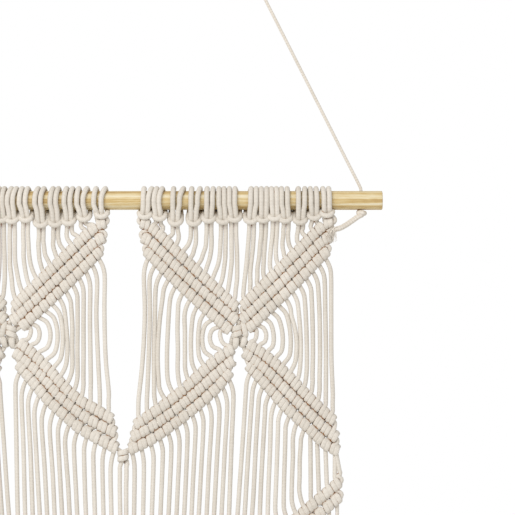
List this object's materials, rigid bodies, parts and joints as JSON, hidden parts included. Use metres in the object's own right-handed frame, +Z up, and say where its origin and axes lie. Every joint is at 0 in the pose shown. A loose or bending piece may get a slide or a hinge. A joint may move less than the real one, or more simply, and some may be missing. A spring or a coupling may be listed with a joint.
{
  "type": "tapestry wall hanging",
  "caption": "Macrame wall hanging: knotted cotton cord panels with crossed rows of knots and a pointed fringe, tied on a wooden dowel that hangs from a string.",
  "frame": {"origin": "the top of the nail, under the highest point of the hanging string", "axes": "+X to the viewer's right along the dowel, +Y to the wall, +Z up"},
  "size_m": [0.44, 0.025, 0.9769],
  "materials": {
    "cotton_cord": "natural off-white braided cotton cord, matt",
    "string": "natural off-white braided cotton string, matt",
    "pine": "plain sanded pale pine, unvarnished"
  },
  "bodies": {
    "dowel_and_string": {"dowel": "pine", "hanging_string": "string", "stopper_knot_left": "string", "stopper_knot_right": "string", "string_tail_left": "string", "string_tail_right": "string"},
    "panels": {"bottom_cords_left": "cotton_cord", "bottom_cords_right": "cotton_cord", "centre_knot_left": "cotton_cord", "centre_knot_right": "cotton_cord", "join_knot": "cotton_cord", "larks_head_left_01": "cotton_cord", "larks_head_left_02": "cotton_cord", "larks_head_left_03": "cotton_cord", "larks_head_left_04": "cotton_cord", "larks_head_left_05": "cotton_cord", "larks_head_left_06": "cotton_cord", "larks_head_left_07": "cotton_cord", "larks_head_left_08": "cotton_cord", "larks_head_left_09": "cotton_cord", "larks_head_left_10": "cotton_cord", "larks_head_left_11": "cotton_cord", "larks_head_left_12": "cotton_cord", "larks_head_left_13": "cotton_cord", "larks_head_left_14": "cotton_cord", "larks_head_right_01": "cotton_cord", "larks_head_right_02": "cotton_cord", "larks_head_right_03": "cotton_cord", "larks_head_right_04": "cotton_cord", "larks_head_right_05": "cotton_cord", "larks_head_right_06": "cotton_cord", "larks_head_right_07": "cotton_cord", "larks_head_right_08": "cotton_cord", "larks_head_right_09": "cotton_cord", "larks_head_right_10": "cotton_cord", "larks_head_right_11": "cotton_cord", "larks_head_right_12": "cotton_cord", "larks_head_right_13": "cotton_cord", "larks_head_right_14": "cotton_cord", "lower_arm_left_inner": "cotton_cord", "lower_arm_left_outer": "cotton_cord", "lower_arm_right_inner": "cotton_cord", "lower_arm_right_outer": "cotton_cord", "side_cords_left_inner": "cotton_cord", "side_cords_left_outer": "cotton_cord", "side_cords_right_inner": "cotton_cord", "side_cords_right_outer": "cotton_cord", "top_cords_left": "cotton_cord", "top_cords_right": "cotton_cord", "upper_arm_left_inner": "cotton_cord", "upper_arm_left_outer": "cotton_cord", "upper_arm_right_inner": "cotton_cord", "upper_arm_right_outer": "cotton_cord"},
    "skirt": {"draped_cords_left": "cotton_cord", "draped_cords_right": "cotton_cord", "fringe_left": "cotton_cord", "fringe_right": "cotton_cord", "sloping_rows_left": "cotton_cord", "sloping_rows_right": "cotton_cord"}
  },
  "joints": [
    {"name": "panel_swing", "type": "hinge", "parent": "dowel_and_string", "child": "panels", "pos_m": [0, 0, -0.396], "axis": [-1, 0, 0], "range_deg": [0, 75]},
    {"name": "skirt_fold", "type": "hinge", "parent": "panels", "child": "skirt", "pos_m": [0, -0.005, -0.617], "axis": [-1, 0, 0], "range_deg": [0, 90]}
  ]
}
